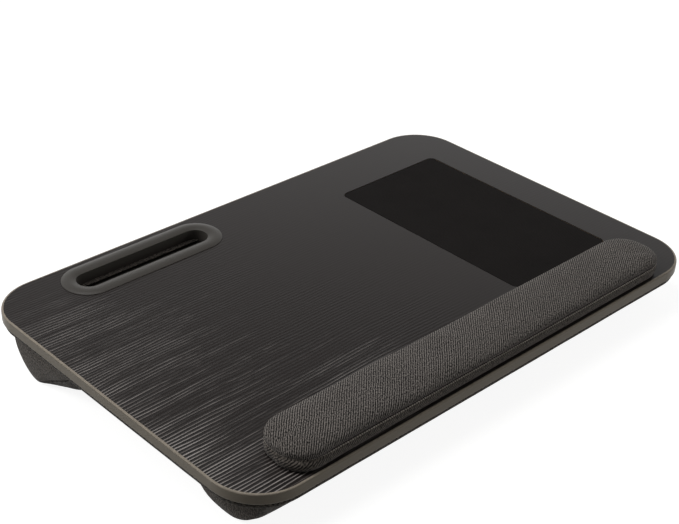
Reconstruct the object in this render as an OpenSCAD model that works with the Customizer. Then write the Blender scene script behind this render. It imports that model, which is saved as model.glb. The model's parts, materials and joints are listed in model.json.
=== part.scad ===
// Lap desk with an inlaid mouse pad, a padded wrist rest, a phone slot and two bolsters, in millimetres.
// The deck is laid out flat, with its origin in the middle of its top face, and then tipped and raised.

/* [Deck] */
// Width of the deck, left to right
deck_w = 536; // [480:1:600]
// Depth of the deck, front to rear
deck_d = 356; // [330:1:400]
// Corner radius of the deck
deck_r = 45; // [38:1:55]
// Thickness of the finished board
board_t = 9.6; // [9:0.2:12]
// Thickness of the laminate on each face
skin_t = 0.6; // [0.4:0.1:0.8]
// Height of the middle of the top face above the ground
deck_h = 51; // [48:0.5:60]
// Rise of the deck towards the rear, in degrees
deck_tilt = 2.75; // [1:0.25:4]

/* [Edge trim] */
// Thickness of the trim's face
trim_t = 2; // [1.5:0.1:3]
// Rounding of the trim's upper and lower edges
trim_edge_r = 1.3; // [0.8:0.1:1.4]
// Length of the tongue that is pressed into the board
tongue_l = 7.5; // [5:0.5:9]
// Thickness of the tongue without its barbs
tongue_t = 1.5; // [1.2:0.1:2]
// How far each barb stands out of the tongue
barb_h = 0.45; // [0.3:0.05:0.6]

/* [Phone slot] */
// Length of the slot's mouth
slot_l = 140; // [100:1:160]
// Width of the slot's mouth
slot_w = 24; // [18:1:28]
// Depth of the tray's floor below the deck
slot_depth = 12.8; // [12:0.1:13]
// Left end of the mouth, measured from the deck's middle
slot_left = -191; // [-200:1:-170]
// Middle line of the slot, measured from the deck's middle
slot_y = 146; // [140:1:148]
// Width of the rim round the mouth
rim_w = 13; // [8:0.5:14]
// Height of the rim's crown above the deck
rim_h = 1.6; // [1.2:0.1:2]
// Height of the rim at its two edges
rim_edge_h = 0.4; // [0.3:0.1:0.6]
// Wall of the tray
tray_wall = 1.8; // [1.5:0.1:2.2]
// Floor of the tray
tray_floor = 1.6; // [1.2:0.1:1.6]

/* [Mouse pad] */
// Width of the pad
pad_w = 127; // [100:1:140]
// Depth of the pad
pad_d = 224; // [180:1:224]
// Corner radius of the pad
pad_r = 6; // [3:1:12]
// Right edge of the pad, measured from the deck's middle
pad_right = 225; // [200:1:235]
// Rear edge of the pad, measured from the deck's middle
pad_rear = 118; // [110:1:125]
// Thickness of the rubber
pad_rubber_t = 1.2; // [0.8:0.1:2]
// Thickness of the cloth face
pad_cloth_t = 0.5; // [0.3:0.1:0.8]

/* [Wrist rest] */
// Length of the wrist rest
rest_w = 446; // [380:1:460]
// Depth of the wrist rest, front to rear
rest_d = 55; // [52:1:60]
// Corner radius of the wrist rest
rest_r = 25; // [22:1:26]
// How far the wrist rest stands to the right of the deck's middle
rest_x = 1.5; // [-4:0.5:4]
// Gap between the wrist rest and the front edge of the deck
rest_gap = 3; // [2:0.5:8]
// Height of the seam above the deck
rest_seam_h = 10.8; // [9.8:0.2:11.8]
// Height of the crown above the deck
rest_h = 20; // [19:0.5:22]
// Radius of the seam ridge
rest_seam_r = 0.9; // [0.6:0.1:1.2]
// Radius that the top turns over just above the seam
rest_edge_r = 5; // [3:0.5:5]
// Radius that the boxing turns under at the deck
rest_tuck_r = 2.5; // [2:0.1:3]

/* [Base] */
// Thickness of the stiff base panel
panel_t = 4; // [3:0.5:4]
// Thickness of the base and bolster cloth
cloth_t = 0.8; // [0.6:0.1:1]
// How far the wrapped base stands in from the deck's edge
base_inset = 2; // [1:0.5:4]
// Width of the cloth turned in over the panel
turn_in = 20; // [15:1:25]

/* [Bolsters] */
// Half of the rear bolster's length, out to its end seam
rear_half = 256; // [245:1:262]
// Half of the front bolster's length, out to its end seam
front_half = 250; // [240:1:256]
// Length over which a bolster swells from its end seam
swell_l = 60; // [40:5:100]
// How far a bolster is squashed flat on the ground
squash = 0.5; // [0.3:0.1:1]
// Least distance from a bolster to the outline of the deck
corner_gap = 5.5; // [4:0.5:10]

/* [Hidden] */

$fn = 64;
// Small overlap that makes joined solids one
lap = 0.01;

// Heights of the layers below the deck's top face
core_top = -skin_t;
core_bottom = -board_t + skin_t;
board_bottom = -board_t;
panel_top = board_bottom - cloth_t;
panel_bottom = panel_top - panel_t;
base_bottom = panel_bottom - cloth_t;

// Kerf in the board's edge that takes the barbed tongue
kerf_t = tongue_t + 2 * barb_h;
kerf_l = tongue_l + 1;
barb_step = 2;

// Slot, tray and the holes round it
slot_x = slot_left + slot_l / 2;
board_hole_grow = tray_wall + 0.3;
snap_reach = 1.6;
snap_l = 10;
snap_at = [-46, 0, 46];
panel_hole_grow = tray_wall + snap_reach + 1;
rib_r = 0.6;
rib_at = [-52, -23, 23, 52];

// Mouse pad and the pocket that it lies in
pad_x = pad_right - pad_w / 2;
pad_y = pad_rear - pad_d / 2;
pad_clearance = 0.7;
pad_sunk = 0.1;
pocket_depth = pad_rubber_t + pad_cloth_t + pad_sunk;

// Wrist rest
rest_y = -deck_d / 2 + rest_gap + rest_d / 2;
rest_cloth_t = 1;
rest_margin_w = 14;
rest_board_t = 2.5;
rest_board_top = rest_cloth_t + rest_board_t;
rest_board_in = rest_tuck_r + 0.7;
tuck_steps = 5;
// Depth that the cloth beds into the seam ridge
seam_bed = 0.1;
// The crown is an arc that is level over the corner centres and runs into the edge's arc
crown_run = rest_r - rest_seam_r - rest_edge_r;
crown_rise = rest_h - rest_seam_h;
crown_r = (pow(crown_run, 2) + pow(crown_rise, 2) - pow(rest_edge_r, 2)) / (2 * (crown_rise - rest_edge_r));

// Staples that hold the turned-in cloth
staple_w = 10;
staple_wire = 0.7;
staple_leg = 3.6;
staple_in = 12;
staples_long = 9;
staples_short = 5;

// Double-sided tape between the board and the base panel
tape_w = 24;
tape_l = 440;
tape_y = [-120, -62, -4, 54, 104];

// The bolsters, each as [half length, swell power, end depth, middle, end], with the middle and
// the end each as [belly line, front edge, rear edge, front power, rear power]
rear_bolster = [rear_half, 0.78, 40.6, [104, 38, 165, 2.6, 2.4], [114, 48, 149.5, 1.1, 1.8]];
front_bolster = [front_half, 0.45, 27.5, [-130, -168, -84, 2.2, 2.3], [-123, -167, -83, 2.2, 1.85]];
end_dome = 3;
stations = 20;
section_steps = 16;

// Height of the ground below the flat deck at y, once the deck is tipped
function ground(y) = -(deck_h + y * sin(deck_tilt)) / cos(deck_tilt);

// Distance from the deck's middle line to its front or rear edge at x
function edge_at(x) = let (over = abs(x) - (deck_w / 2 - deck_r))
    over <= 0 ? deck_d / 2 : deck_d / 2 - deck_r + sqrt(pow(deck_r, 2) - pow(over, 2));

function mix(a, b, t) = a + (b - a) * t;
function limit(v, most) = sign(v) * min(abs(v), most);
function signed_pow(v, p) = sign(v) * pow(abs(v), p);

// Share of a bolster's full section reached at x: none at the end seam, all in the middle
function swell(x, bolster) =
    let (t = min(1, (bolster[0] - abs(x)) / swell_l)) pow(1 - pow(1 - t, 2), bolster[1]);

// One station's section across a bolster, from its rear edge round the belly to its front edge.
// inset is the cloth's thickness for the inner face, and nothing for the outer face.
function section(x, bolster, inset) =
    let (
        s = swell(x, bolster),
        middle = bolster[3],
        m = [for (i = [0:4]) mix(bolster[4][i], middle[i], s)],
        reach = edge_at(x) - corner_gap,
        front = limit(m[1], reach),
        rear = limit(m[2], reach),
        full_depth = base_bottom - ground(middle[0]) + squash,
        depth = mix(bolster[2], full_depth, s) - inset
    )
    [for (i = [0:section_steps])
        let (
            a = 180 * i / section_steps,
            half = cos(a) > 0 ? rear - m[0] : m[0] - front,
            power = 2 / (cos(a) > 0 ? m[4] : m[3]),
            y = m[0] + (half - inset) * signed_pow(cos(a), power),
            z = base_bottom - depth * signed_pow(sin(a), power)
        )
        [x, y, max(z, ground(y) + inset)]];

// Stations lie closer together towards the ends
function station_x(i, bolster) = bolster[0] * sin(180 * i / stations - 90);

// Faces between one ring of n points and the next
function ring_faces(rings, n) = [
    for (r = [0:rings - 2], i = [0:n - 1], half = [0:1])
        let (a = r * n + i, b = r * n + (i + 1) % n)
        half == 0 ? [a, b, b + n] : [a, b + n, a + n]
];

// The deck's own place above the ground
module on_deck() {
    translate([0, -board_t * sin(deck_tilt) / 2, deck_h]) rotate([deck_tilt, 0, 0]) children();
}

// Rounded rectangle with true arcs
module round_rect(w, d, r) {
    square([w - 2 * r, d], center = true);
    square([w, d - 2 * r], center = true);
    for (x = [-1, 1], y = [-1, 1]) translate([x * (w / 2 - r), y * (d / 2 - r)]) circle(r);
}

// Carries a profile round a rounded rectangle, with the profile's x measured outward from the outline
module round_rect_sweep(w, d, r) {
    for (side = [0:3]) {
        across = side % 2 == 0 ? w : d;
        along = side % 2 == 0 ? d : w;
        rotate(90 * side) {
            translate([across / 2, 0, 0]) rotate([90, 0, 0])
                linear_extrude(along - 2 * r, center = true) children();
            translate([across / 2 - r, along / 2 - r, 0])
                rotate_extrude(angle = 90) translate([r, 0]) children();
        }
    }
}

// Slot outline, grown outward by grow
module slot_outline(grow) {
    round_rect(slot_l + 2 * grow, slot_w + 2 * grow, slot_w / 2 + grow - lap);
}

// Carries a profile round the slot's mouth, with x measured outward from the mouth
module slot_sweep() {
    run = slot_l - slot_w;
    for (side = [0, 180]) rotate(side) {
        translate([0, -slot_w / 2, 0]) rotate([90, 0, -90])
            linear_extrude(run, center = true) children();
        translate([run / 2, 0, 0]) rotate(-90)
            rotate_extrude(angle = 180) translate([slot_w / 2, 0]) children();
    }
}

module at_slot() {
    translate([slot_x, slot_y, 0]) children();
}

module at_pad() {
    translate([pad_x, pad_y, 0]) children();
}

module at_rest() {
    translate([rest_x, rest_y, 0]) children();
}

// Outline of the board inside its trim
module board_outline() {
    round_rect(deck_w - 2 * trim_t, deck_d - 2 * trim_t, deck_r - trim_t);
}

// Window in the laminate, and pocket in the board, for the mouse pad
module pad_pocket(depth) {
    at_pad() translate([0, 0, -depth]) linear_extrude(depth + 1)
        round_rect(pad_w + 2 * pad_clearance, pad_d + 2 * pad_clearance, pad_r + pad_clearance);
}

// Cut-out that the tray passes through
module tray_hole(grow) {
    at_slot() translate([0, 0, base_bottom]) linear_extrude(-base_bottom + 1) slot_outline(grow);
}

module core_board() {
    color("#8a7355") on_deck() difference() {
        translate([0, 0, core_bottom]) linear_extrude(core_top - core_bottom) board_outline();
        tray_hole(board_hole_grow);
        pad_pocket(pocket_depth);
        translate([0, 0, -board_t / 2])
            round_rect_sweep(deck_w, deck_d, deck_r)
                translate([-trim_t - kerf_l, -kerf_t / 2]) square([kerf_l + lap, kerf_t]);
    }
}

module top_laminate() {
    color("#3d3a3a") on_deck() difference() {
        translate([0, 0, -skin_t]) linear_extrude(skin_t) board_outline();
        tray_hole(board_hole_grow);
        pad_pocket(pocket_depth);
    }
}

module backer_sheet() {
    color("#57514a") on_deck() difference() {
        translate([0, 0, board_bottom]) linear_extrude(skin_t) board_outline();
        tray_hole(board_hole_grow);
    }
}

// Section of the edge trim: a face with rounded edges, and a barbed tongue behind it
module trim_profile() {
    difference() {
        translate([-trim_t, -board_t / 2]) square([trim_t, board_t]);
        for (s = [-1, 1]) translate([-trim_edge_r, s * (board_t / 2 - trim_edge_r)])
            difference() {
                translate([0, s > 0 ? 0 : -trim_edge_r - 1]) square([trim_edge_r + 1, trim_edge_r + 1]);
                circle(trim_edge_r);
            }
    }
    translate([-trim_t - tongue_l, -tongue_t / 2]) square([tongue_l + lap, tongue_t]);
    for (i = [1:3], s = [-1, 1]) {
        root = -trim_t - i * barb_step;
        polygon([
            [root, s * (tongue_t / 2 - lap)],
            [root, s * (tongue_t / 2 + barb_h)],
            [root - barb_step + 0.4, s * (tongue_t / 2 - lap)]
        ]);
    }
}

module edge_trim() {
    color("#6b6560") on_deck() translate([0, 0, -board_t / 2])
        round_rect_sweep(deck_w, deck_d, deck_r) trim_profile();
}

// Section of the tray's rim and wall: the rim is a shallow dome between two low edges
module tray_profile() {
    drop = rim_h - rim_edge_h;
    dome_r = (pow(rim_w / 2, 2) + pow(drop, 2)) / (2 * drop);
    intersection() {
        square([rim_w, rim_h + 1]);
        translate([rim_w / 2, rim_h - dome_r]) circle(dome_r);
    }
    translate([0, -slot_depth - tray_floor]) square([tray_wall, slot_depth + tray_floor + lap]);
}

// Wedge that springs out under the board once the tray is pressed home
module snap() {
    rotate([90, 0, 0]) linear_extrude(snap_l, center = true) polygon([
        [tray_wall - 0.2, board_bottom],
        [tray_wall + snap_reach, board_bottom],
        [tray_wall + snap_reach, board_bottom - 0.6],
        [tray_wall - 0.2, board_bottom - 3.4]
    ]);
}

module phone_tray() {
    color("#4a4747") on_deck() at_slot() {
        slot_sweep() tray_profile();
        translate([0, 0, -slot_depth - tray_floor]) linear_extrude(tray_floor)
            slot_outline(tray_wall / 2);
        for (side = [0, 180]) rotate(side) {
            for (x = snap_at) translate([x, slot_w / 2, 0]) rotate(90) snap();
            for (x = rib_at) translate([x, slot_w / 2 + board_hole_grow - rib_r, board_bottom])
                cylinder(r = rib_r, h = board_t);
        }
    }
}

module mouse_pad_base() {
    color("#1c1b1b") on_deck() at_pad() translate([0, 0, -pocket_depth])
        linear_extrude(pad_rubber_t) round_rect(pad_w, pad_d, pad_r);
}

module mouse_pad_cloth() {
    color("#262423") on_deck() at_pad() translate([0, 0, -pad_sunk - pad_cloth_t])
        linear_extrude(pad_cloth_t) round_rect(pad_w, pad_d, pad_r);
}

module wrist_rest_tape() {
    color("#c9c3b4") on_deck() at_rest() linear_extrude(rest_cloth_t) round_rect(
        rest_w - 2 * rest_margin_w, rest_d - 2 * rest_margin_w, rest_r - rest_margin_w);
}

module wrist_rest_board() {
    color("#6f5a42") on_deck() at_rest() translate([0, 0, rest_cloth_t])
        linear_extrude(rest_board_t) round_rect(
            rest_w - 2 * rest_board_in, rest_d - 2 * rest_board_in, rest_r - rest_board_in);
}

// Section of the padded part above the seam, cut back by inset
module crown_profile(inset) {
    reach = crown_run * (crown_r - inset) / (crown_r - rest_edge_r);
    intersection() {
        translate([-rest_r, rest_h - crown_r]) circle(crown_r - inset);
        translate([-rest_r, rest_board_top]) square([reach, rest_h]);
    }
    translate([-rest_seam_r - rest_edge_r, rest_seam_h]) circle(rest_edge_r - inset);
}

module seam_profile() {
    translate([-rest_seam_r - seam_bed, rest_seam_h]) circle(rest_seam_r);
}

// Fills the wrist rest between two heights, inside the ring that the sweep makes
module rest_middle(low, high) {
    translate([0, 0, low]) linear_extrude(high - low)
        square([rest_w - 2 * rest_r + lap, rest_d - 2 * rest_r + lap], center = true);
}

module wrist_rest_foam() {
    color("#b9b4a8") on_deck() at_rest() {
        round_rect_sweep(rest_w, rest_d, rest_r) difference() {
            union() {
                crown_profile(rest_cloth_t);
                translate([-rest_r, rest_board_top])
                    square([rest_r - rest_cloth_t, rest_seam_h - rest_seam_r - rest_board_top]);
                translate([-rest_board_in, rest_tuck_r])
                    square([rest_board_in - rest_cloth_t, rest_board_top - rest_tuck_r + lap]);
            }
            seam_profile();
        }
        rest_middle(rest_board_top, rest_h - rest_cloth_t);
    }
}

// Quarter turn from the side down to the deck, about the centre that the tuck turns on
function tuck_arc(r) = [for (i = [0:tuck_steps])
    let (a = 90 * i / tuck_steps) [r * cos(a) - rest_tuck_r, rest_tuck_r - r * sin(a)]];

// The boxing stands up to the seam, and turns under at the deck
module boxing_profile() {
    top = rest_seam_h - rest_seam_r + seam_bed;
    inner = tuck_arc(rest_tuck_r - rest_cloth_t);
    polygon(concat(
        [[-rest_cloth_t, top], [0, top]],
        tuck_arc(rest_tuck_r),
        [[-rest_margin_w, 0], [-rest_margin_w, rest_cloth_t]],
        [for (i = [tuck_steps:-1:0]) inner[i]]
    ));
}

module wrist_rest_boxing() {
    color("#3b3836") on_deck() at_rest() round_rect_sweep(rest_w, rest_d, rest_r) difference() {
        boxing_profile();
        seam_profile();
    }
}

module wrist_rest_top() {
    color("#4b4643") on_deck() at_rest() {
        round_rect_sweep(rest_w, rest_d, rest_r) intersection() {
            translate([-rest_r, rest_seam_h + rest_seam_r - seam_bed]) square([rest_r, rest_h]);
            difference() {
                crown_profile(0);
                crown_profile(rest_cloth_t);
                seam_profile();
            }
        }
        rest_middle(rest_h - rest_cloth_t, rest_h);
    }
}

module wrist_rest_seam() {
    color("#59534f") on_deck() at_rest() round_rect_sweep(rest_w, rest_d, rest_r) seam_profile();
}

// One staple, with its crown across X and level with the top of the cloth
module staple() {
    translate([-staple_w / 2, -staple_wire / 2, board_bottom - staple_wire])
        cube([staple_w, staple_wire, staple_wire]);
    for (x = [-staple_w / 2, staple_w / 2 - staple_wire])
        translate([x, -staple_wire / 2, board_bottom - staple_leg])
            cube([staple_wire, staple_wire, staple_leg]);
}

module cloth_staples() {
    step_long = (deck_w - 2 * deck_r - 20) / (staples_long - 1);
    step_short = (deck_d - 2 * deck_r - 20) / (staples_short - 1);
    color("silver") on_deck() for (s = [-1, 1]) {
        for (i = [0:staples_long - 1])
            translate([(i - (staples_long - 1) / 2) * step_long, s * (deck_d / 2 - staple_in), 0]) staple();
        for (i = [0:staples_short - 1])
            translate([s * (deck_w / 2 - staple_in), (i - (staples_short - 1) / 2) * step_short, 0])
                rotate(90) staple();
    }
}

module base_panel() {
    hem_r = panel_t / 2;
    in = base_inset + cloth_t + hem_r;
    color("#6f5a42") on_deck() difference() {
        union() {
            translate([0, 0, panel_bottom]) linear_extrude(panel_t)
                round_rect(deck_w - 2 * in, deck_d - 2 * in, deck_r - in);
            round_rect_sweep(deck_w, deck_d, deck_r) intersection() {
                translate([-in, panel_bottom + hem_r]) circle(hem_r);
                translate([-in - lap, panel_bottom]) square([panel_t, panel_t]);
            }
        }
        tray_hole(panel_hole_grow);
        cloth_staples();
    }
}

// Section of the wrapped edge: a rolled hem and the cloth turned in over the panel
module hem_profile() {
    hem_r = panel_t / 2;
    in = base_inset + cloth_t + hem_r;
    translate([-in, panel_bottom + hem_r]) difference() {
        circle(hem_r + cloth_t);
        circle(hem_r);
        translate([-2 * panel_t, -panel_t]) square([2 * panel_t, 2 * panel_t]);
    }
    translate([-in - turn_in, panel_top]) square([turn_in + lap, cloth_t]);
}

module base_cloth() {
    in = base_inset + cloth_t + panel_t / 2;
    color("#4a4643") on_deck() difference() {
        union() {
            round_rect_sweep(deck_w, deck_d, deck_r) hem_profile();
            translate([0, 0, base_bottom]) linear_extrude(cloth_t)
                round_rect(deck_w - 2 * in + lap, deck_d - 2 * in + lap, deck_r - in);
        }
        cloth_staples();
    }
}

module mounting_tape() {
    color("#c9c3b4") on_deck() for (y = tape_y)
        translate([-tape_l / 2, y - tape_w / 2, panel_top]) cube([tape_l, tape_w, cloth_t]);
}

// Cloth tube of a bolster, open along its top where it is sewn to the base, and at its ends
module bolster_cover(bolster) {
    n = section_steps + 1;
    points = [for (i = [0:stations])
        let (
            x = station_x(i, bolster),
            outer = section(x, bolster, 0),
            inner = section(x, bolster, cloth_t)
        )
        each concat(outer, [for (j = [n - 1:-1:0]) inner[j]])];
    last = stations * 2 * n;
    near_cap = [for (j = [0:n - 2], half = [0:1])
        half == 0 ? [j, 2 * n - 1 - j, j + 1] : [j + 1, 2 * n - 1 - j, 2 * n - 2 - j]];
    far_cap = [for (f = near_cap) [last + f[0], last + f[2], last + f[1]]];
    polyhedron(points, concat(ring_faces(stations + 1, 2 * n), near_cap, far_cap));
}

// Point that an end bulges out to
function dome_point(x, ring, out) = [
    x + sign(x) * out,
    ring[section_steps / 2][1],
    mix(base_bottom, ring[section_steps / 2][2], 0.45)
];

module bolster_fill(bolster) {
    n = section_steps + 1;
    rings = [for (i = [0:stations]) section(station_x(i, bolster), bolster, cloth_t)];
    last = stations * n;
    points = concat(
        [for (r = rings) each r],
        [dome_point(-bolster[0], rings[0], end_dome), dome_point(bolster[0], rings[stations], end_dome)]
    );
    tips = [len(points) - 2, len(points) - 1];
    caps = concat(
        [for (j = [0:n - 1]) [tips[0], (j + 1) % n, j]],
        [for (j = [0:n - 1]) [tips[1], last + j, last + (j + 1) % n]]
    );
    polyhedron(points, concat(ring_faces(stations + 1, n), caps));
}

// End panel of a bolster, a thin plate that domes outward, on the side that the sign of end gives
module bolster_end(end, bolster) {
    n = section_steps + 1;
    x = end * bolster[0];
    rim = section(x, bolster, 0);
    inner_rim = section(x, bolster, cloth_t);
    points = concat(
        rim,
        [for (p = rim) p + [end * cloth_t, 0, 0]],
        [dome_point(x, inner_rim, end_dome)],
        [dome_point(x, inner_rim, end_dome + cloth_t)]
    );
    sides = ring_faces(2, n);
    inner = [for (j = [0:n - 1]) [2 * n, (j + 1) % n, j]];
    outer = [for (j = [0:n - 1]) [2 * n + 1, n + j, n + (j + 1) % n]];
    faces = concat(sides, inner, outer);
    polyhedron(points, end > 0 ? faces : [for (f = faces) [f[0], f[2], f[1]]]);
}

module rear_bolster_cover() {
    color("#4a4643") on_deck() bolster_cover(rear_bolster);
}

module rear_bolster_end_left() {
    color("#54504c") on_deck() bolster_end(-1, rear_bolster);
}

module rear_bolster_end_right() {
    color("#54504c") on_deck() bolster_end(1, rear_bolster);
}

module rear_bolster_fill() {
    color("white") on_deck() bolster_fill(rear_bolster);
}

module front_bolster_cover() {
    color("#4a4643") on_deck() bolster_cover(front_bolster);
}

module front_bolster_end_left() {
    color("#54504c") on_deck() bolster_end(-1, front_bolster);
}

module front_bolster_end_right() {
    color("#54504c") on_deck() bolster_end(1, front_bolster);
}

module front_bolster_fill() {
    color("white") on_deck() bolster_fill(front_bolster);
}

core_board();
top_laminate();
backer_sheet();
edge_trim();
phone_tray();
mouse_pad_base();
mouse_pad_cloth();
wrist_rest_board();
wrist_rest_foam();
wrist_rest_boxing();
wrist_rest_top();
wrist_rest_seam();
wrist_rest_tape();
base_panel();
base_cloth();
cloth_staples();
mounting_tape();
rear_bolster_cover();
rear_bolster_end_left();
rear_bolster_end_right();
rear_bolster_fill();
front_bolster_cover();
front_bolster_end_left();
front_bolster_end_right();
front_bolster_fill();
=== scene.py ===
import json
import math

import bmesh
import bpy
import numpy as np
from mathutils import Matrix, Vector, noise


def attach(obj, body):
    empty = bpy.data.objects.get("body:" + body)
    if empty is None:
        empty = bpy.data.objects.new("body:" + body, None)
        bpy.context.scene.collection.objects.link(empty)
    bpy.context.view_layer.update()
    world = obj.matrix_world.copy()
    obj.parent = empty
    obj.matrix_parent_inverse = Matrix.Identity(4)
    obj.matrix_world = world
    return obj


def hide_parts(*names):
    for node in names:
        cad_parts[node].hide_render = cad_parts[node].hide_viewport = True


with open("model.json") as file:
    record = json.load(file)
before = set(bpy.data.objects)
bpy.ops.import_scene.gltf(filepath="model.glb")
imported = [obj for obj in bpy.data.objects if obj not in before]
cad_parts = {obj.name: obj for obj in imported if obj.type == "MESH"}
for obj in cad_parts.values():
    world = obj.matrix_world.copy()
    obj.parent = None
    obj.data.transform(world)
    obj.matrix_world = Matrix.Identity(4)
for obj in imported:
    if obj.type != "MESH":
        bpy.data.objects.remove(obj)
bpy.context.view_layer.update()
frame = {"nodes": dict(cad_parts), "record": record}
cadNodes = frame["nodes"]
mounts = {m["name"]: m for m in frame["record"]["mounts"]}
mm = 0.001
print("frame loaded:", len(cadNodes), "pieces")

# The deck is laid out flat, in millimetres from the middle of its top face, then tipped and raised
deckUp = mounts["deck_top"]["axis"]
deckOrigin = np.array(mounts["deck_top"]["pos_m"])
deckTilt = math.atan2(-deckUp[1], deckUp[2])
deck = {"width": 536, "depth": 356, "corner": 45, "board": 9.6, "underside": 15.2, "height": 51}


def toWorld(points):
    p = np.asarray(points, float).reshape(-1, 3) * mm
    c, s = math.cos(deckTilt), math.sin(deckTilt)
    return np.column_stack([p[:, 0], p[:, 1] * c - p[:, 2] * s, p[:, 1] * s + p[:, 2] * c]) + deckOrigin


def toDeck(points):
    p = np.asarray(points, float).reshape(-1, 3) - deckOrigin
    c, s = math.cos(deckTilt), math.sin(deckTilt)
    return np.column_stack([p[:, 0], p[:, 1] * c + p[:, 2] * s, p[:, 2] * c - p[:, 1] * s]) / mm


def wobble(x, y, size, seed=0.0):  # smooth noise from -1 to 1, with features of about the given size
    return noise.noise(Vector((x / size, y / size, seed)))


def linear(hexColour):
    parts = [int(hexColour[i:i + 2], 16) / 255 for i in (1, 3, 5)]
    return tuple(p / 12.92 if p <= 0.04045 else ((p + 0.055) / 1.055) ** 2.4 for p in parts) + (1.0,)


def addNode(tree, kind, inputs=(), stops=(), take=None, **settings):
    node = tree.nodes.new("ShaderNode" + kind)
    for name, value in settings.items():
        setattr(node, name, value)
    if stops:
        band = node.color_ramp.elements
        while len(band) < len(stops):
            band.new(0.5)
        for element, (place, value) in zip(band, stops):
            element.position = place
            element.color = linear(value) if isinstance(value, str) else (value, value, value, 1)
    for name, value in dict(inputs).items():
        socket = node.inputs[name]
        if isinstance(name, str):
            socket = [s for s in node.inputs if s.name == name and s.enabled][0]
        if isinstance(value, bpy.types.NodeSocket):
            tree.links.new(value, socket)
        else:
            socket.default_value = linear(value) if isinstance(value, str) else value
    return node.outputs[take] if take else next((s for s in node.outputs if s.enabled), node)


def newMaterial(name, colour, **surface):
    material = bpy.data.materials.new(name)
    material.use_nodes = True
    shader = material.node_tree.nodes["Principled BSDF"]
    shader.inputs["Base Color"].default_value = linear(colour)
    for socket, value in surface.items():
        shader.inputs[socket.replace("_", " ")].default_value = value
    return material, material.node_tree, shader.inputs


# Makes one visible piece. laid says where each point lies on the flat cloth, in mm: the weave follows it.
def makePiece(name, points, faces, material, replaced, laid, thick=0.0, smoothing=0):
    mesh = bpy.data.meshes.new(name)
    mesh.from_pydata(toWorld(points).tolist(), [], [list(map(int, f)) for f in faces])
    lay = mesh.attributes.new("cloth", "FLOAT_VECTOR", "POINT")
    flat = np.column_stack([np.asarray(laid, float) * mm, np.zeros(len(laid))])
    lay.data.foreach_set("vector", flat.ravel())
    work = bmesh.new()
    work.from_mesh(mesh)
    bmesh.ops.remove_doubles(work, verts=work.verts, dist=0.01 * mm)
    work.to_mesh(mesh)
    work.free()
    mesh.polygons.foreach_set("use_smooth", [True] * len(mesh.polygons))
    mesh.materials.append(material)
    piece = bpy.data.objects.new(name, mesh)
    bpy.context.scene.collection.objects.link(piece)
    if thick:
        shell = piece.modifiers.new("thickness", "SOLIDIFY")
        shell.thickness = thick * mm
        shell.offset = -1
    if smoothing:
        smooth = piece.modifiers.new("smoothing", "SUBSURF")
        smooth.levels = smooth.render_levels = smoothing
    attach(piece, "root")
    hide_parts(*replaced)
    return piece


# Points round a rounded rectangle, anticlockwise from its right side, each with its run along the outline
def roundedPath(width, depth, radius, inset=0.0, step=5.0, arc=16):
    reach = radius - inset
    hx, hy = width / 2 - radius + min(reach, 0), depth / 2 - radius + min(reach, 0)
    reach = max(reach, 0)
    points, run, length = [], [], 0.0
    corners = [(hx, hy), (-hx, hy), (-hx, -hy), (hx, -hy)]
    for k, (cx, cy) in enumerate(corners):
        for i in range(arc + 1):
            a = math.radians(90 * (k + i / arc))
            points.append((cx + reach * math.cos(a), cy + reach * math.sin(a)))
            run.append(length + math.pi / 2 * radius * i / arc)
        length = run[-1]
        last = points[-1]
        a = math.radians(90 * (k + 1))
        nx, ny = corners[(k + 1) % 4]
        end = (nx + reach * math.cos(a), ny + reach * math.sin(a))
        straight = (width if k % 2 == 0 else depth) - 2 * radius
        parts = max(1, round(straight / step))
        for i in range(1, parts):
            t = i / parts
            points.append((last[0] + (end[0] - last[0]) * t, last[1] + (end[1] - last[1]) * t))
            run.append(length + straight * t)
        length += straight
    return np.array(points), np.array(run)


def bridge(ringCount, n):  # quads between one ring of n points and the next
    return [(r * n + i, r * n + (i + 1) % n, (r + 1) * n + (i + 1) % n, (r + 1) * n + i)
            for r in range(ringCount - 1) for i in range(n)]


# Fills the middle of a rounded rectangle, from the ring whose corners have shrunk to points
def middleGrid(width, depth, radius, step):
    hx, hy = width / 2 - radius, depth / 2 - radius
    nx, ny = max(1, round(2 * hx / step)), max(1, round(2 * hy / step))
    xs, ys = np.linspace(-hx, hx, nx + 1), np.linspace(-hy, hy, ny + 1)
    points = np.array([(x, y) for y in ys for x in xs])
    faces = [(j * (nx + 1) + i, j * (nx + 1) + i + 1, (j + 1) * (nx + 1) + i + 1, (j + 1) * (nx + 1) + i)
             for j in range(ny) for i in range(nx)]
    return points, faces


# Gives points that lie in the same place one number, and drops faces that shrink to a line.
# What comes back is the points to keep and the faces on them.
def weld(points, faces):
    seen, order, kept = {}, [], []
    for i, q in enumerate(points):
        key = tuple(round(float(v), 3) for v in q)
        if key not in seen:
            seen[key] = len(kept)
            kept.append(i)
        order.append(seen[key])
    joined = []
    for f in faces:
        ring = list(dict.fromkeys(order[i] for i in f))
        if len(ring) > 2:
            joined.append(tuple(ring))
    return np.array(kept), joined


swelling = {
    "frames": 20, "quality": 6, "mass": 0.25, "stiff": 25, "bend": 0.6,
    "spare": 0.015,              # how much wider the cloth is cut than its flat form
    "evened": 40, "keeps": 0.4,  # rounds of evening out, and what a point keeps of its own way in each
}


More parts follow.
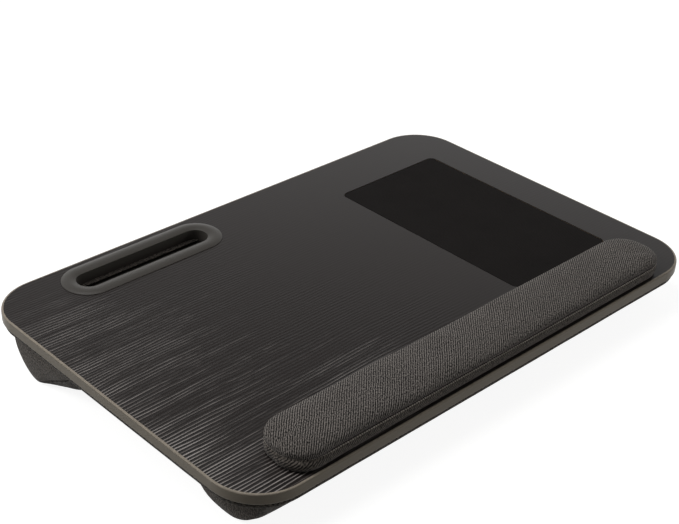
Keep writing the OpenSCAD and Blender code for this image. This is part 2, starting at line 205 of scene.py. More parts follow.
# Lets a sheet swell under pressure from inside while the points in held stay where they are sewn.
# The swelling is evened out between neighbours, and most caps how far a point may move, in mm.
def inflate(points, faces, held, pressure, most):
    mesh = bpy.data.meshes.new("swelling")
    mesh.from_pydata(toWorld(points).tolist(), [], [list(map(int, f)) for f in faces])
    trial = bpy.data.objects.new("swelling", mesh)
    scene = bpy.context.scene
    scene.collection.objects.link(trial)
    trial.vertex_groups.new(name="sewn").add([int(i) for i in held], 1.0, "REPLACE")
    swell = trial.modifiers.new("swell", "CLOTH")
    swell.settings.quality = swelling["quality"]
    swell.settings.mass = swelling["mass"]
    swell.settings.tension_stiffness = swell.settings.compression_stiffness = swelling["stiff"]
    swell.settings.bending_stiffness = swelling["bend"]
    swell.settings.shrink_min = -swelling["spare"]
    swell.settings.use_pressure = True
    swell.settings.uniform_pressure_force = pressure
    swell.settings.vertex_group_mass = "sewn"
    swell.settings.effector_weights.gravity = 0
    swell.point_cache.frame_start = 1
    swell.point_cache.frame_end = swelling["frames"]
    for step in range(1, swelling["frames"] + 1):
        scene.frame_set(step)
    shaped = trial.evaluated_get(bpy.context.evaluated_depsgraph_get()).data
    after = toDeck([v.co[:] for v in shaped.vertices])
    scene.frame_set(1)
    bpy.data.objects.remove(trial)
    bpy.data.meshes.remove(mesh)
    before = np.array(points, float)
    moved = after - before
    pairs = np.array(sorted({tuple(sorted((f[k], f[k - 1]))) for f in faces for k in range(len(f))}))
    sewn = np.array(sorted(held), int)
    here = np.concatenate([pairs[:, 0], pairs[:, 1]])
    there = np.concatenate([pairs[:, 1], pairs[:, 0]])
    count = np.maximum(np.bincount(here, minlength=len(moved)), 1)
    for step in range(swelling["evened"]):
        total = [np.bincount(here, moved[there, k], len(moved)) / count for k in range(3)]
        moved = swelling["keeps"] * moved + (1 - swelling["keeps"]) * np.column_stack(total)
        moved[sewn] = 0
    far = np.linalg.norm(moved, axis=1)
    print("  swelled by", round(float(far.mean()), 2), "mm on average, at most", round(float(far.max()), 2))
    return before + moved * np.minimum(1, most / np.maximum(far, 1e-9))[:, None]


camera = {
    "place": (-0.73705, -0.76409, 0.65712), "aim": (0.00997, 0.02847, 0.05100),
    "lens": 73.16, "clip": (0.05, 30),
}

studio = {
    "floor": 40.0,
    "paper": "#8c8c8a",
    "lift": 0.9,                # how much whiter the paper looks to the eye than it is as a light
    "dim": 0.09,
    "glow": 1.3,                # the bright wall behind the desk
    "behind": (0.66, 0.75, 0),
    "wallTop": (0.38, 0.51),    # where it fades out, as the height of a direction
    "wallSide": (0.1, 0.6),     # how far it reaches round
    "horizon": (0.2, 0.36),     # below this the world is white to the eye, or the floor would show an edge
    "aim": (0, 0, 0.03),
    "lamps": {
        "keyBox": {"place": (-0.4, 0.4, 2.0), "size": (1.2, 0.9), "power": 20, "mirrored": True},
        "leftBox": {"place": (-1.3, 1.1, 1.3), "size": (0.9, 0.6), "power": 20, "mirrored": True},
        "rightBox": {"place": (1.4, -1.5, 0.5), "size": (0.9, 0.6), "power": 10, "mirrored": False},
    },
}


def makeCamera():
    data = bpy.data.cameras.new("camera")
    data.lens = camera["lens"]
    data.clip_start, data.clip_end = camera["clip"]
    made = bpy.data.objects.new("camera", data)
    made.location = camera["place"]
    look = Vector(camera["aim"]) - Vector(camera["place"])
    made.rotation_mode = "QUATERNION"
    made.rotation_quaternion = look.to_track_quat("-Z", "Y")
    bpy.context.scene.collection.objects.link(made)
    bpy.context.scene.camera = made


# 1 for the rays that the eye sees by, straight, mirrored or through glass, and 0 for light on a surface
def eyeRays(tree):
    rays = tree.nodes.new("ShaderNodeLightPath").outputs
    seen = rays["Is Camera Ray"]
    for name in ("Is Glossy Ray", "Is Transmission Ray"):
        seen = addNode(tree, "Math", {0: seen, 1: rays[name]}, operation="MAXIMUM")
    return seen


def makeWorld():
    world = bpy.data.worlds.new("studio")
    bpy.context.scene.world = world
    world.use_nodes = True
    tree = world.node_tree
    tree.nodes.clear()
    way = addNode(tree, "TexCoord", take="Generated")
    up = addNode(tree, "SeparateXYZ", {0: way}, take="Z")
    behind = addNode(tree, "VectorMath", {0: way, 1: studio["behind"]}, operation="DOT_PRODUCT", take="Value")
    low, high = studio["wallTop"]
    height = addNode(tree, "MapRange", {
        "Value": up, "From Min": low, "From Max": high, "To Min": 1.0, "To Max": 0.0})
    low, high = studio["wallSide"]
    side = addNode(tree, "MapRange", {"Value": behind, "From Min": low, "From Max": high})
    wall = addNode(tree, "Math", {0: height, 1: side}, operation="MULTIPLY")
    glow = addNode(tree, "MapRange", {"Value": wall, "To Min": studio["dim"], "To Max": studio["glow"]})
    low, high = studio["horizon"]
    white = addNode(tree, "MapRange", {
        "Value": up, "From Min": low, "From Max": high, "To Min": 1.0, "To Max": 0.0})
    white = addNode(tree, "Math", {0: white, 1: eyeRays(tree)}, operation="MULTIPLY")
    glow = addNode(tree, "Math", {0: glow, 1: white}, operation="MAXIMUM")
    light = addNode(tree, "Background", {"Color": (1, 1, 1, 1), "Strength": glow})
    addNode(tree, "OutputWorld", {"Surface": light})


# A matt paper sweep, which looks white and takes the desk's shadow
def makeFloor():
    half = studio["floor"] / 2
    mesh = bpy.data.meshes.new("floor")
    corners = [(-half, -half, 0), (half, -half, 0), (half, half, 0), (-half, half, 0)]
    mesh.from_pydata(corners, [], [(0, 1, 2, 3)])
    floor = bpy.data.objects.new("floor", mesh)
    bpy.context.scene.collection.objects.link(floor)
    paper, tree, shader = newMaterial("paper sweep", studio["paper"], Roughness=0.9, Specular_IOR_Level=0.1)
    lift = addNode(tree, "Math", {0: eyeRays(tree), 1: studio["lift"]}, operation="MULTIPLY")
    shader["Emission Color"].default_value = (1, 1, 1, 1)
    tree.links.new(lift, shader["Emission Strength"])
    mesh.materials.append(paper)


def makeLamps():
    for name, lamp in studio["lamps"].items():
        data = bpy.data.lights.new(name, "AREA")
        data.shape = "RECTANGLE"
        data.size, data.size_y = lamp["size"]
        data.energy = lamp["power"]
        made = bpy.data.objects.new(name, data)
        made.location = lamp["place"]
        made.visible_glossy = lamp["mirrored"]
        made.rotation_mode = "QUATERNION"
        made.rotation_quaternion = (Vector(studio["aim"]) - made.location).to_track_quat("-Z", "Y")
        bpy.context.scene.collection.objects.link(made)


bpy.context.scene.view_settings.view_transform = "Standard"
makeCamera()
makeWorld()
makeFloor()
makeLamps()
print("camera and studio made")


laminate = {
    # the first colour is painted shade in the grooves, the last a painted highlight on the ridges
    "grooveShade": "#080606", "ground": "#221d1b", "ridge": "#96908c",
    "pitch": 3.4,           # from one line of the grain to the next, in mm
    "bends": (              # length, width and height of what bends the lines, in mm, and a seed
        (170, 60, 12.0, 0.0),
        (60, 14, 2.4, 5.0),
        (30, 6, 1.7, 9.0),
    ),
    "streak": (110, 6),     # length and width of the longer and shorter stretches of a line
    "fibre": (14, 0.9),
    "depth": 0.07,
    "fades": {              # where the lines' painted light and shade and their bump start to fade, where they have faded, and what is left there
        "X": (-0.21, 0.07, 0.12),
        "Y": (-0.10, 0.14, 0.42),
    },
}


# Oak-grain laminate, pressed against an etched steel plate: fine even lines of satin ridge and matt groove,
# with painted highlight on the ridges and painted shade in the grooves. This painted light and shade, with
# the bump, is crisp at the front left and fades into a plain satin at the rear and the right
def makeLaminate():
    material, tree, shader = newMaterial(
        "pressed oak laminate", laminate["ground"], IOR=1.5, Specular_IOR_Level=0.35)
    at = addNode(tree, "TexCoord", take="Object")
    place = addNode(tree, "SeparateXYZ", {0: at}, take="X").node.outputs
    height = place["Y"]
    for length, width, amount, seed in laminate["bends"]:
        bend = addNode(tree, "TexNoise", {
            "Vector": addNode(tree, "Mapping", {
                "Vector": at, "Location": (seed, seed, 0), "Scale": (1000 / length, 1000 / width, 10)}),
            "Scale": 1.0, "Detail": 0.0}, take="Fac")
        bend = addNode(tree, "MapRange", {
            "Value": bend, "To Min": -amount * mm / 2, "To Max": amount * mm / 2})
        height = addNode(tree, "Math", {0: height, 1: bend}, operation="ADD")
    turn = addNode(tree, "Math", {0: height, 1: 2000 * math.pi / laminate["pitch"]}, operation="MULTIPLY")
    lines = addNode(tree, "Math", {0: turn}, operation="SINE")
    length, width = laminate["streak"]
    stretches = addNode(tree, "TexNoise", {
        "Vector": addNode(tree, "Mapping", {
            "Vector": at, "Scale": (1000 / length, 1000 / width, 10)}),
        "Scale": 1.0, "Detail": 1.0, "Roughness": 0.4}, take="Fac")
    stretches = addNode(tree, "MapRange", {
        "Value": stretches, "From Min": 0.3, "From Max": 0.6, "To Min": 0.55})
    clouds = addNode(tree, "TexNoise", {"Vector": at, "Scale": 7.0, "Detail": 1.0}, take="Fac")
    clouds = addNode(tree, "MapRange", {
        "Value": clouds, "From Min": 0.35, "From Max": 0.6, "To Min": 0.8, "To Max": 1.3})
    relief = addNode(tree, "Math", {0: lines, 1: clouds}, operation="MULTIPLY")
    relief = addNode(tree, "Math", {0: relief, 1: stretches}, operation="MULTIPLY")
    for axis, (start, end, left) in laminate["fades"].items():
        faded = addNode(tree, "MapRange", {
            "Value": place[axis], "From Min": start, "From Max": end, "To Min": 1.0, "To Max": left})
        relief = addNode(tree, "Math", {0: relief, 1: faded}, operation="MULTIPLY")
    length, width = laminate["fibre"]
    fibres = addNode(tree, "TexNoise", {
        "Vector": addNode(tree, "Mapping", {
            "Vector": at, "Scale": (1000 / length, 1000 / width, 10)}),
        "Scale": 1.0, "Detail": 2.0}, take="Fac")
    fibres = addNode(tree, "MapRange", {
        "Value": fibres, "From Min": 0.3, "From Max": 0.7, "To Min": -0.05, "To Max": 0.05})
    shade = addNode(tree, "MapRange", {"Value": relief, "From Min": -1.0, "From Max": 1.0})
    shade = addNode(tree, "Math", {0: shade, 1: fibres}, operation="ADD")
    # painted light and shade: grooves painted darker, ridges painted lighter, fading where the relief fades
    colour = addNode(tree, "ValToRGB", {"Fac": shade}, stops=[
        (0.02, laminate["grooveShade"]), (0.4, laminate["ground"]),
        (0.72, laminate["ground"]), (1.0, laminate["ridge"])])
    tree.links.new(colour, shader["Base Color"])
    tree.links.new(addNode(tree, "MapRange", {"Value": shade, "To Min": 0.42, "To Max": 0.22}),
                   shader["Roughness"])
    tree.links.new(addNode(tree, "Bump", {"Height": relief, "Distance": laminate["depth"] * mm}),
                   shader["Normal"])
    return material


trim = {
    # the second colour is a painted highlight for the top edge
    "colour": "#6e675c", "paintedHighlight": "#8d8478",
    "lines": 0.7,
    "bead": (0.8, 0.1),  # the painted highlight on this bead starts and is at its lightest this far below the deck's top, in mm
}


# PVC edging, drawn through a die: an even satin band with faint lines along it
def makeTrimPvc():
    material, tree, shader = newMaterial("extruded PVC", trim["colour"], IOR=1.53, Specular_IOR_Level=0.1)
    at = addNode(tree, "TexCoord", take="Object")
    drawn = addNode(tree, "TexNoise", {
        "Vector": addNode(tree, "Mapping", {"Vector": at, "Scale": (8, 8, 1000 / trim["lines"])}),
        "Scale": 1.0, "Detail": 2.0}, take="Fac")
    scuffs = addNode(tree, "TexNoise", {"Vector": at, "Scale": 260.0, "Detail": 4.0}, take="Fac")
    tree.links.new(addNode(tree, "MapRange", {"Value": scuffs, "To Min": 0.34, "To Max": 0.5}),
                   shader["Roughness"])
    # painted highlight: the bead along the top edge is painted lighter where the light catches it, broken up
    # by the scuff noise
    rise = addNode(tree, "VectorMath", {0: at, 1: tuple(deckUp)}, operation="DOT_PRODUCT", take="Value")
    low, high = float(np.dot(deckUp, deckOrigin)) - np.array(trim["bead"]) * mm
    paintedHighlight = addNode(tree, "MapRange", {"Value": rise, "From Min": low, "From Max": high})
    highlightBreakup = addNode(tree, "MapRange", {"Value": scuffs, "From Min": 0.3, "From Max": 0.6, "To Min": 0.5})
    paintedHighlight = addNode(tree, "Math", {0: paintedHighlight, 1: highlightBreakup}, operation="MULTIPLY")
    tree.links.new(addNode(tree, "Mix", {
        "Factor": paintedHighlight, "A": trim["colour"], "B": trim["paintedHighlight"]}, data_type="RGBA"), shader["Base Color"])
    tree.links.new(addNode(tree, "Bump", {"Height": drawn, "Distance": 0.03 * mm}), shader["Normal"])
    return material


tray = {"colour": "#3d3a36", "grit": 0.35}


# ABS, injection moulded in a spark-eroded tool: a fine even satin
def makeTrayAbs():
    material, tree, shader = newMaterial(
        "moulded ABS", tray["colour"], IOR=1.54, Roughness=0.45, Specular_IOR_Level=0.3)
    at = addNode(tree, "TexCoord", take="Object")
    sparks = addNode(tree, "TexNoise", {
        "Vector": at, "Scale": 1000 / tray["grit"], "Detail": 2.0}, take="Fac")
    tree.links.new(addNode(tree, "Bump", {"Height": sparks, "Distance": 0.02 * mm}), shader["Normal"])
    return material


# Hidden boards, papers and tapes: material, darker and lighter colour, size of the mottle in mm, roughness
plainParts = {
    "core_board": ("pressed fibreboard", "#6d5a41", "#8d7656", 0.6, 0.8),
    "backer_sheet": ("kraft backing paper", "#4a433b", "#5b534a", 1.5, 0.7),
    "mouse_pad_base": ("moulded foam rubber", "#141313", "#1f1e1d", 0.8, 0.85),
    "wrist_rest_board": ("hardboard", "#5b472f", "#745d41", 0.7, 0.65),
    "wrist_rest_tape": ("foam tape", "#b7b1a3", "#cdc7ba", 0.5, 0.9),
    "base_panel": ("hardboard panel", "#5b472f", "#745d41", 0.7, 0.65),
    "mounting_tape": ("mounting tape", "#b7b1a3", "#cdc7ba", 0.5, 0.9),
}


# Pressed, moulded or coated stock with no finish: a matt mottle of two near colours
def makePlain(name, dark, light, grain, rough):
    material, tree, shader = newMaterial(name, light, Roughness=rough)
    at = addNode(tree, "TexCoord", take="Object")
    mottle = addNode(tree, "TexNoise", {"Vector": at, "Scale": 1000 / grain, "Detail": 3.0}, take="Fac")
    colour = addNode(tree, "ValToRGB", {"Fac": mottle}, stops=[(0.35, dark), (0.65, light)])
    tree.links.new(colour, shader["Base Color"])
    tree.links.new(addNode(tree, "Bump", {"Height": mottle, "Distance": 0.08 * mm}), shader["Normal"])
    return material


# Galvanised steel wire, drawn: bright metal with lengthwise scratches
def makeStapleWire():
    material, tree, shader = newMaterial("galvanised steel wire", "#b9babb", Metallic=1.0)
    at = addNode(tree, "TexCoord", take="Object")
    drawn = addNode(tree, "TexNoise", {"Vector": at, "Scale": 3000.0, "Detail": 2.0}, take="Fac")
    tree.links.new(addNode(tree, "MapRange", {"Value": drawn, "To Min": 0.25, "To Max": 0.45}),
                   shader["Roughness"])
    return material


def dress(nodeName, material):
    cadNodes[nodeName].data.materials.clear()
    cadNodes[nodeName].data.materials.append(material)


dress("top_laminate", makeLaminate())
dress("edge_trim", makeTrimPvc())
dress("phone_tray", makeTrayAbs())
dress("cloth_staples", makeStapleWire())
for nodeName, settings in plainParts.items():
    dress(nodeName, makePlain(*settings))
print("hard parts dressed")


# line is from one diagonal or rib of the weave to the next, and fleck is the length and width of one float,
# in mm. Both are drawn two or three times as coarse as real yarn, or they would not show.
cloths = {
    "restTop": {
        "name": "polyester twill, woven",
        "turn": 45, "line": 1.8, "fleck": (1.8, 0.9), "mottle": 0.6,
        "dark": "#050404", "light": "#7a746f", "depth": 0.3, "sheen": 0.05, "gloss": 0.15,
    },
    # painted shade: the boxing is the same twill as the top, given darker, flatter colours for the shade on
    # its sides
    "restSideShaded": {
        "name": "polyester twill, woven, on its side",
        "turn": 45, "line": 2.0, "fleck": (2.4, 1.0), "mottle": 0.6,
        "dark": "#171413", "light": "#69625b", "depth": 0.2, "sheen": 0.1, "gloss": 0.15,
    },
    # painted highlight: the seam ridge is given much lighter colours than the cloth round it, for the
    # highlight along it
    "restSeamLit": {
        "name": "polyester thread, twisted",
        "turn": 90, "line": 2.4, "fleck": (2.0, 1.2), "mottle": 0.5,
        "dark": "#4a4540", "light": "#a39b92", "depth": 0.1, "sheen": 0.1, "gloss": 0.2,
    },
    "bolster": {
        "name": "polyester linen, woven",
        "turn": 0, "line": 1.8, "fleck": (2.4, 1.2), "mottle": 0.8,
        "dark": "#1f1c1a", "light": "#5a544d", "depth": 0.25, "sheen": 0.12, "gloss": 0.2,
    },
    # painted light: the end panels are the same linen as the covers, given lighter colours for the light that
    # falls on the ends
    "bolsterEndLit": {
        "name": "polyester linen, woven, cut across",
        "turn": 90, "line": 1.8, "fleck": (1.8, 1.2), "mottle": 0.9,
        "dark": "#332e2a", "light": "#655e57", "depth": 0.25, "sheen": 0.15, "gloss": 0.2,
    },
    "pad": {
        "name": "polyester jersey, knitted",
        "turn": 0, "line": 1.8, "fleck": (2.0, 1.0), "mottle": 0.5,
        "dark": "#161413", "light": "#1f1c1b", "depth": 0.05, "sheen": 0.0, "gloss": 0.08,
    },
}


# Woven or knitted yarn: lines of light floats over a dark ground, broken into flecks, with a little sheen
# from stray fibres
def makeCloth(kind):
    cloth = cloths[kind]
    material, tree, shader = newMaterial(
        cloth["name"], cloth["light"], Roughness=0.9, IOR=1.5, Specular_IOR_Level=cloth["gloss"],
        Sheen_Weight=cloth["sheen"], Sheen_Roughness=0.5)
    at = addNode(tree, "Attribute", attribute_name="cloth", take="Vector")
    turned = addNode(tree, "Mapping", {"Vector": at, "Rotation": (0, 0, -math.radians(cloth["turn"]))})
    drift = addNode(tree, "TexNoise", {"Vector": at, "Scale": 60.0, "Detail": 1.0}, take="Fac")
    rise = addNode(tree, "SeparateXYZ", {0: turned}, take="Y")
    rise = addNode(tree, "Math", {0: rise, 1: addNode(tree, "MapRange", {
        "Value": drift, "To Min": -0.6 * mm, "To Max": 0.6 * mm})}, operation="ADD")
    turn = addNode(tree, "Math", {0: rise, 1: 2000 * math.pi / cloth["line"]}, operation="MULTIPLY")
    lines = addNode(tree, "Math", {0: turn}, operation="SINE")
    length, width = cloth["fleck"]
    flecks = addNode(tree, "TexNoise", {
        "Vector": addNode(tree, "Mapping", {"Vector": turned, "Scale": (1000 / length, 1000 / width, 1)}),
        "Scale": 1.0, "Detail": 1.0}, take="Fac")
    flecks = addNode(tree, "MapRange", {
        "Value": flecks, "From Min": 0.25, "From Max": 0.75, "To Min": -1.0})
    mottled = addNode(tree, "Mix", {"Factor": cloth["mottle"], "A": lines, "B": flecks})
    mottled = addNode(tree, "MapRange", {"Value": mottled, "From Min": -0.5, "From Max": 0.5})
    colour = addNode(tree, "ValToRGB", {"Fac": mottled}, stops=[
        (0.18, cloth["dark"]), (0.95, cloth["light"])])
    patches = addNode(tree, "TexNoise", {"Vector": at, "Scale": 30.0, "Detail": 2.0}, take="Fac")
    patches = addNode(tree, "ValToRGB", {"Fac": patches}, stops=[(0.3, 0.86), (0.7, 1.0)])
    colour = addNode(tree, "Mix", {
        "Factor": 1.0, "A": colour, "B": patches}, data_type="RGBA", blend_type="MULTIPLY")
    tree.links.new(colour, shader["Base Color"])
    tree.links.new(addNode(tree, "Bump", {"Height": mottled, "Distance": cloth["depth"] * mm}),
                   shader["Normal"])
    return material


materials = {kind: makeCloth(kind) for kind in cloths}


padFace = {"width": 127, "depth": 224, "corner": 6, "centre": (161.5, 6), "top": -0.1, "thick": 0.5}


def makePadFace():
    p = padFace
    low = p["top"] - p["thick"]
    profile = [(0.5, low), (0.0, low), (0.0, low + 0.2), (0.08, p["top"] - 0.1), (0.3, p["top"] - 0.02),
               (0.8, p["top"]), (3.0, p["top"]), (6.0, p["top"])]
    points = []
    for inset, z in profile:
        path, run = roundedPath(p["width"], p["depth"], p["corner"], inset, step=8, arc=8)
        points += [(x + p["centre"][0], y + p["centre"][1], z) for x, y in path]
    faces = bridge(len(profile), len(path))
    for z, flip in ((p["top"], False), (low, True)):
        grid, cells = middleGrid(p["width"], p["depth"], p["corner"], 8)
        first = len(points)
        points += [(x + p["centre"][0], y + p["centre"][1], z) for x, y in grid]
        faces += [tuple(first + i for i in (reversed(c) if flip else c)) for c in cells]
    n = len(path)
    inner = len(points)
    points += [(x + p["centre"][0], y + p["centre"][1], low) for x, y in path]
    faces += [(inner + i, inner + (i + 1) % n, (i + 1) % n, i) for i in range(n)]
    return makePiece("mousePadFace", points, faces, materials["pad"], ["mouse_pad_cloth"],
                     laid=[q[:2] for q in points])


padCloth = makePadFace()
print("mouse pad face made")


rest = {
    "width": 446, "depth": 55, "corner": 25, "middle": (1.5, -147.5),
    "seam": 10.8, "crown": 20, "margin": 14,
    "fullness": 2.6,  # 2 is an ellipse; more makes a flatter crown and a tighter roll at the edge
    "overhang": 2.4,  # the top rolls out over its seam up to this height, and so shades it
    "pucker": 0.6, "puckerStep": 4.5,
    "slump": 2.6,  # how far the boxing bulges out at the front left corner
    "slumpWidth": 17,
}


# Share from 0 to 1 of how gathered the cloth is: fully round the left end, less round the right one
def restGather(run):
    r = rest
    straight = r["width"] - 2 * r["corner"]
    arc = math.pi / 2 * r["corner"]
    gap = r["depth"] - 2 * r["corner"]
    length = 4 * arc + 2 * straight + 2 * gap
    toLeft = abs(run - (2 * arc + straight + gap / 2))
    toRight = abs((run + gap / 2 + length / 2) % length - length / 2)
    left = min(max((arc + gap / 2 + 10 - toLeft) / 14, 0), 1)
    right = min(max((arc + gap / 2 - toRight) / 10, 0), 1)
    return max(left, 0.5 * right)


def restSlump(run):
    r = rest
    corner = 2.5 * math.pi / 2 * r["corner"] + r["width"] + r["depth"] - 4 * r["corner"]
    return math.exp(-((run - corner) / r["slumpWidth"]) ** 2)


# One ring round the wrist rest: each point, its way outward and its run along the outline
def restRing(inset, step=4):
    r = rest
    path, run = roundedPath(r["width"], r["depth"], r["corner"], inset, step=step)
    hx, hy = r["width"] / 2 - r["corner"], r["depth"] / 2 - r["corner"]
    away = path - np.column_stack([np.clip(path[:, 0], -hx, hx), np.clip(path[:, 1], -hy, hy)])
    size = np.maximum(np.linalg.norm(away, axis=1), 1e-6)[:, None]
    return path + r["middle"], away / size, run


def makeRestTop():
    r = rest
    rise = r["crown"] - r["seam"]
    profile = [(inset, r["seam"] + z) for inset, z in ((2.8, -1.0), (2.2, -0.6), (1.7, 0.1), (1.0, 0.9))]
    for k in range(0, 15):
        t = (k / 14) ** 1.7
        z = r["overhang"] + (rise - r["overhang"]) * (1 - (1 - t) ** r["fullness"]) ** (1 / r["fullness"])
        profile.append((0.2 + (r["corner"] - 0.2) * t, r["seam"] + z))
    points, laid = [], []
    steps = [math.dist(p, q) for p, q in zip(profile, profile[1:])] + [0]
    for k, (inset, z) in enumerate(profile):
        path, away, run = restRing(inset)
        for (x, y), out, s in zip(path, away, run):
            spread = sum(steps[k:]) - r["corner"] + inset
            laid.append((x + out[0] * spread, y + out[1] * spread))
            near = max(0, 1 - inset / 10)
            gather = restGather(s)
            push = 0.7 * near * gather * wobble(s, inset * 0.4, r["puckerStep"], 3.1)
            push += 0.8 * gather * max(0, inset - 0.2) * (z < r["seam"] + 1.5)
            lift = 0.2 * wobble(x, y, 34, 7.7) * min(1, inset / 8)
            points.append((x + out[0] * push, y + out[1] * push, z + lift + 0.3 * push))
    count = len(path)
    held = range(3 * count)
    faces = bridge(len(profile), count)
    grid, cells = middleGrid(r["width"], r["depth"], r["corner"], 4)
    first = len(points)
    for x, y in grid + r["middle"]:
        points.append((x, y, r["crown"] + 0.2 * wobble(x, y, 34, 7.7)))
        laid.append((x, y))
    faces += [tuple(first + i for i in c) for c in cells]
    kept, joined = weld(points, faces)
    shaped = np.array(points)[kept]
    moved = inflate(shaped, joined, held, 1.0, 0.6) - shaped
    # where the rings of a corner shrink to a point the cloth moves as it does round about
    for side in (-1, 1):
        far = np.hypot(shaped[:, 0] - r["middle"][0] - side * (r["width"] / 2 - r["corner"]),
                       shaped[:, 1] - r["middle"][1])
        share = np.clip((13 - far) / 4, 0, 1)[:, None]
        moved = moved * (1 - share) + moved[(far > 12) & (far < 16)].mean(axis=0) * share
    return makePiece("wristRestTop", shaped + moved, joined, materials["restTop"],
                     ["wrist_rest_top", "wrist_rest_foam"], laid=np.array(laid)[kept],
                     thick=0.9, smoothing=1)


def makeRestBoxing():
    r = rest
    profile = [(r["margin"], 0.05), (6.0, 0.05), (3.4, 0.1), (2.1, 0.4), (1.2, 1.1), (0.55, 2.2),
               (0.15, 3.8), (0.0, 5.5), (0.05, 7.2), (0.25, 8.6), (0.75, 9.7), (1.5, 10.3), (2.6, 10.4)]
    points, laid = [], []
    travelled = 0.0
    for k, (inset, z) in enumerate(profile):
        if k:
            travelled += math.dist(profile[k - 1], profile[k])
        path, away, run = restRing(inset)
        for (x, y), out, s in zip(path, away, run):
            bow = math.sin(math.pi * min(1, max(0, z / r["seam"]))) ** 0.6
            low = max(0, 1 - z / r["seam"]) ** 0.5 * (inset < 5)
            gather = 0.12 + 0.88 * restGather(s)
            push = r["pucker"] * gather * bow * (
                wobble(s, z * 0.22, r["puckerStep"], 1.3) + 0.6 * wobble(s, z * 0.3, 2.2, 4.4))
            push += 0.5 * gather * low * wobble(s, 0, 7, 8.8)
            push += r["slump"] * restSlump(s) * max(bow, 0.8 * low)
            points.append((x + out[0] * push, y + out[1] * push, z))
            laid.append((s, travelled))
    faces = bridge(len(profile), len(path))
    return makePiece("wristRestBoxing", points, faces, materials["restSideShaded"],
                     ["wrist_rest_boxing"], laid=laid, thick=0.8, smoothing=1)


def makeRestSeam():
    r = rest
    around = 8
    points, laid = [], []
    for k in range(around):
        a = 2 * math.pi * k / around
        path, away, run = restRing(0.0, step=3)
        for (x, y), out, s in zip(path, away, run):
            size = 0.75 * (1 - 0.8 * restGather(s))
            push = size * math.cos(a) - 0.5
            z = r["seam"] - 0.1 + size * 0.8 * math.sin(a) + 0.15 * wobble(s, 0, 6, 9.2)
            points.append((x + out[0] * push, y + out[1] * push, z))
            laid.append((s, k * 0.6))
    n = len(path)
    faces = bridge(around, n)
    faces += [((around - 1) * n + i, (around - 1) * n + (i + 1) % n, (i + 1) % n, i) for i in range(n)]
    return makePiece("wristRestSeam", points, faces, materials["restSeamLit"],
                     ["wrist_rest_seam"], laid=laid)


restTop = makeRestTop()
makeRestBoxing()
makeRestSeam()
print("wrist rest made")


base = {"inset": 2.0, "panel": 4.0, "cloth": 0.8, "turnIn": 20, "bulge": 0.8}


def makeBaseCloth():
    b = base
    roll = b["panel"] / 2 + b["cloth"]
    centre = b["inset"] + roll
    middleHeight = -deck["underside"] + roll
    profile = [(centre + b["turnIn"], middleHeight + roll)]
    for a in np.linspace(0, math.pi, 11):
        bulge = roll + b["bulge"] * (a / math.pi) ** 2
        profile.append((centre - bulge * math.sin(a), middleHeight + roll * math.cos(a)))
    profile += [(inset, -deck["underside"]) for inset in (10, 17, 26, 36, 45)]
    points, laid = [], []
    for k, (inset, z) in enumerate(profile):
        path, run = roundedPath(deck["width"], deck["depth"], deck["corner"], inset, step=8)
        travelled = sum(math.dist(p, q) for p, q in zip(profile[:k], profile[1:k + 1]))
        for (x, y), s in zip(path, run):
            sway = 0.18 * wobble(s, 0, 22, 5.5) if z < -deck["board"] - 0.5 else 0
            points.append((x, y, z + sway * (inset < 30)))
            laid.append((s, travelled))
    faces = bridge(len(profile), len(path))
    grid, cells = middleGrid(deck["width"], deck["depth"], deck["corner"], 8)
    first = len(points)
    points += [(x, y, -deck["underside"]) for x, y in grid]
    laid += [tuple(q) for q in grid]
    faces += [tuple(first + i for i in c) for c in cells]
    faces = [tuple(reversed(f)) for f in faces]
    return makePiece("baseCloth", points, faces, materials["bolster"], ["base_cloth"],
                     laid=laid, thick=b["cloth"])


baseCloth = makeBaseCloth()
print("base cloth made")


# middle and end are a section's lowest place, front edge and rear edge, from front to rear in mm, and how
# square its front and rear are. power says how quickly the end turns into the middle.
bolsters = {
    "rear": {
        "half": 256, "power": 0.78, "depth": 40.6,
        "middle": (104, 38, 165, 2.6, 2.4), "end": (114, 48, 149.5, 1.1, 1.8),
    },
    "front": {
        "half": 250, "power": 0.45, "depth": 27.5,
        "middle": (-130, -168, -84, 2.2, 2.3), "end": (-123, -167, -83, 2.2, 1.85),
    },
}
bolsterShape = {
    "swell": 60, "squash": 0.5, "cornerGap": 5.5, "cloth": 0.8, "dome": 2.0,
    "rings": (0, 1.2, 3, 5.5, 8.5, 12, 16, 21, 27, 34, 42, 51, 60),  # from each end, in mm
    "step": 6, "around": 48, "pucker": 0.9, "puckerStep": 8.0, "pressure": 3.0, "most": 2.0, "crease": 0.6,
}


def ground(y):
    return -(deck["height"] + y * math.sin(deckTilt)) / math.cos(deckTilt)


def edgeAt(x):
    over = abs(x) - (deck["width"] / 2 - deck["corner"])
    if over <= 0:
        return deck["depth"] / 2
    return deck["depth"] / 2 - deck["corner"] + math.sqrt(deck["corner"] ** 2 - over ** 2)


def bolsterSection(x, form):
    b = bolsterShape
    t = min(1, max(0, (form["half"] - abs(x)) / b["swell"]))
    s = (1 - (1 - t) ** 2) ** form["power"]
    m = [e + (c - e) * s for e, c in zip(form["end"], form["middle"])]
    reach = edgeAt(x) - b["cornerGap"]
    front = max(-reach, min(reach, m[1]))
    rear = max(-reach, min(reach, m[2]))
    full = -deck["underside"] - ground(form["middle"][0]) + b["squash"]
    depth = form["depth"] + (full - form["depth"]) * s
    points = []
    for a in np.linspace(0, math.pi, 2 * b["around"] + 1):
        c, d = math.cos(a), math.sin(a)
        half, power = (rear - m[0], 2 / m[4]) if c > 0 else (m[0] - front, 2 / m[3])
        y = m[0] + half * math.copysign(abs(c) ** power, c)
        z = -deck["underside"] - depth * d ** power
        points.append([x, y, max(z, ground(y))])
    return points


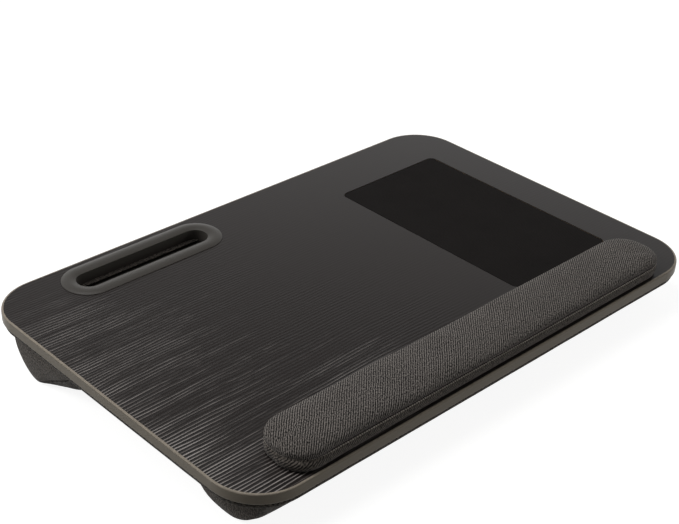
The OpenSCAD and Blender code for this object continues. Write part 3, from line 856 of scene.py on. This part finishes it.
def resample(points, count):  # even steps along a line of points
    p = np.array(points)
    run = np.concatenate([[0], np.cumsum(np.linalg.norm(np.diff(p, axis=0), axis=1))])
    at = np.linspace(0, run[-1], count)
    return np.column_stack([np.interp(at, run, p[:, k]) for k in range(3)]), at


# Adds the panel that closes one end of a bolster. It shares the cover's last ring, rim, so that both stay
# sewn together when they swell. What comes back is the panel's points, its faces and its seam.
def addEndPanel(points, faces, held, rim, sign):
    b = bolsterShape
    low, high = np.array(points[rim[-1]]), np.array(points[rim[0]])
    chord = []
    for t in np.linspace(0, 1, 14)[1:-1]:
        chord.append(len(points))
        held.append(len(points))
        points.append(tuple(low + (high - low) * t))
    ring = rim + chord
    n = len(ring)
    corners = np.array([points[i] for i in ring])
    centre = corners.mean(axis=0)
    made, previous, panelFaces = list(ring), ring, []
    for t in (0.08, 0.2, 0.36, 0.54, 0.72, 0.88):
        out = b["dome"] * (1 - (1 - t) ** 2)
        new = []
        for q in corners:
            new.append(len(points))
            points.append(tuple(q + (centre - q) * t + np.array([sign * out, 0, 0])))
        panelFaces += [(previous[i], previous[(i + 1) % n], new[(i + 1) % n], new[i]) for i in range(n)]
        made += new
        previous = new
    middle = len(points)
    points.append(tuple(centre + np.array([sign * b["dome"], 0, 0])))
    panelFaces += [(previous[i], previous[(i + 1) % n], middle) for i in range(n)]
    made.append(middle)
    if sign > 0:
        panelFaces = [tuple(reversed(f)) for f in panelFaces]
    faces += panelFaces
    return made, panelFaces, rim[1:-1]


def makeBolster(side):
    b, form = bolsterShape, bolsters[side]
    count = b["around"] + 1
    inner = form["half"] - b["rings"][-1]
    xs = [e - form["half"] for e in b["rings"]]
    across = list(np.linspace(-inner, inner, round(2 * inner / b["step"]) + 1)[1:-1])
    xs += across + [-x for x in reversed(xs)]
    points, laid = [], []
    for x in xs:
        section, run = resample(bolsterSection(x, form), count)
        deep = form["half"] - abs(x)
        gathered = max(0, 1 - deep / 30) ** 1.5 * min(1, deep / 3)
        for k, (p, s) in enumerate(zip(section, run)):
            gather = gathered * math.sin(math.pi * k / b["around"]) ** 0.5
            push = b["pucker"] * gather * wobble(s, x * 0.12, b["puckerStep"], 2.2 + (x > 0))
            p[2] += push if p[2] > ground(p[1]) + 0.5 else 0
            points.append(tuple(p))
            laid.append((x, s))
    faces = [(i * count + j, (i + 1) * count + j, (i + 1) * count + j + 1, i * count + j + 1)
             for i in range(len(xs) - 1) for j in range(count - 1)]
    coverPoints, coverFaces = len(points), len(faces)
    held = [i * count + j for i in range(len(xs)) for j in (0, b["around"])]
    panels = {}
    for word, sign, first in (("left", -1, 0), ("right", 1, (len(xs) - 1) * count)):
        rim = list(range(first, first + count))
        panels[word] = addEndPanel(points, faces, held, rim, sign)

    swelled = inflate(points, faces, held, b["pressure"], b["most"])
    swelled[panels["left"][2], 0] += b["crease"]
    swelled[panels["right"][2], 0] -= b["crease"]
    swelled[:, 2] = np.maximum(swelled[:, 2], ground(swelled[:, 1]))
    names = [side + "_bolster_cover", side + "_bolster_fill"]
    cover = makePiece(side + "BolsterCover", swelled[:coverPoints], faces[:coverFaces], materials["bolster"],
                      names, laid=laid, thick=b["cloth"], smoothing=1)
    for word, (made, panelFaces, seam) in panels.items():
        at = {old: new for new, old in enumerate(made)}
        makePiece(side + "BolsterEnd" + word.capitalize(), swelled[made],
                  [tuple(at[i] for i in f) for f in panelFaces], materials["bolsterEndLit"],
                  [side + "_bolster_end_" + word],
                  laid=[q[1:] for q in swelled[made]], thick=b["cloth"], smoothing=1)


for side in bolsters:
    makeBolster(side)
print("bolsters made")
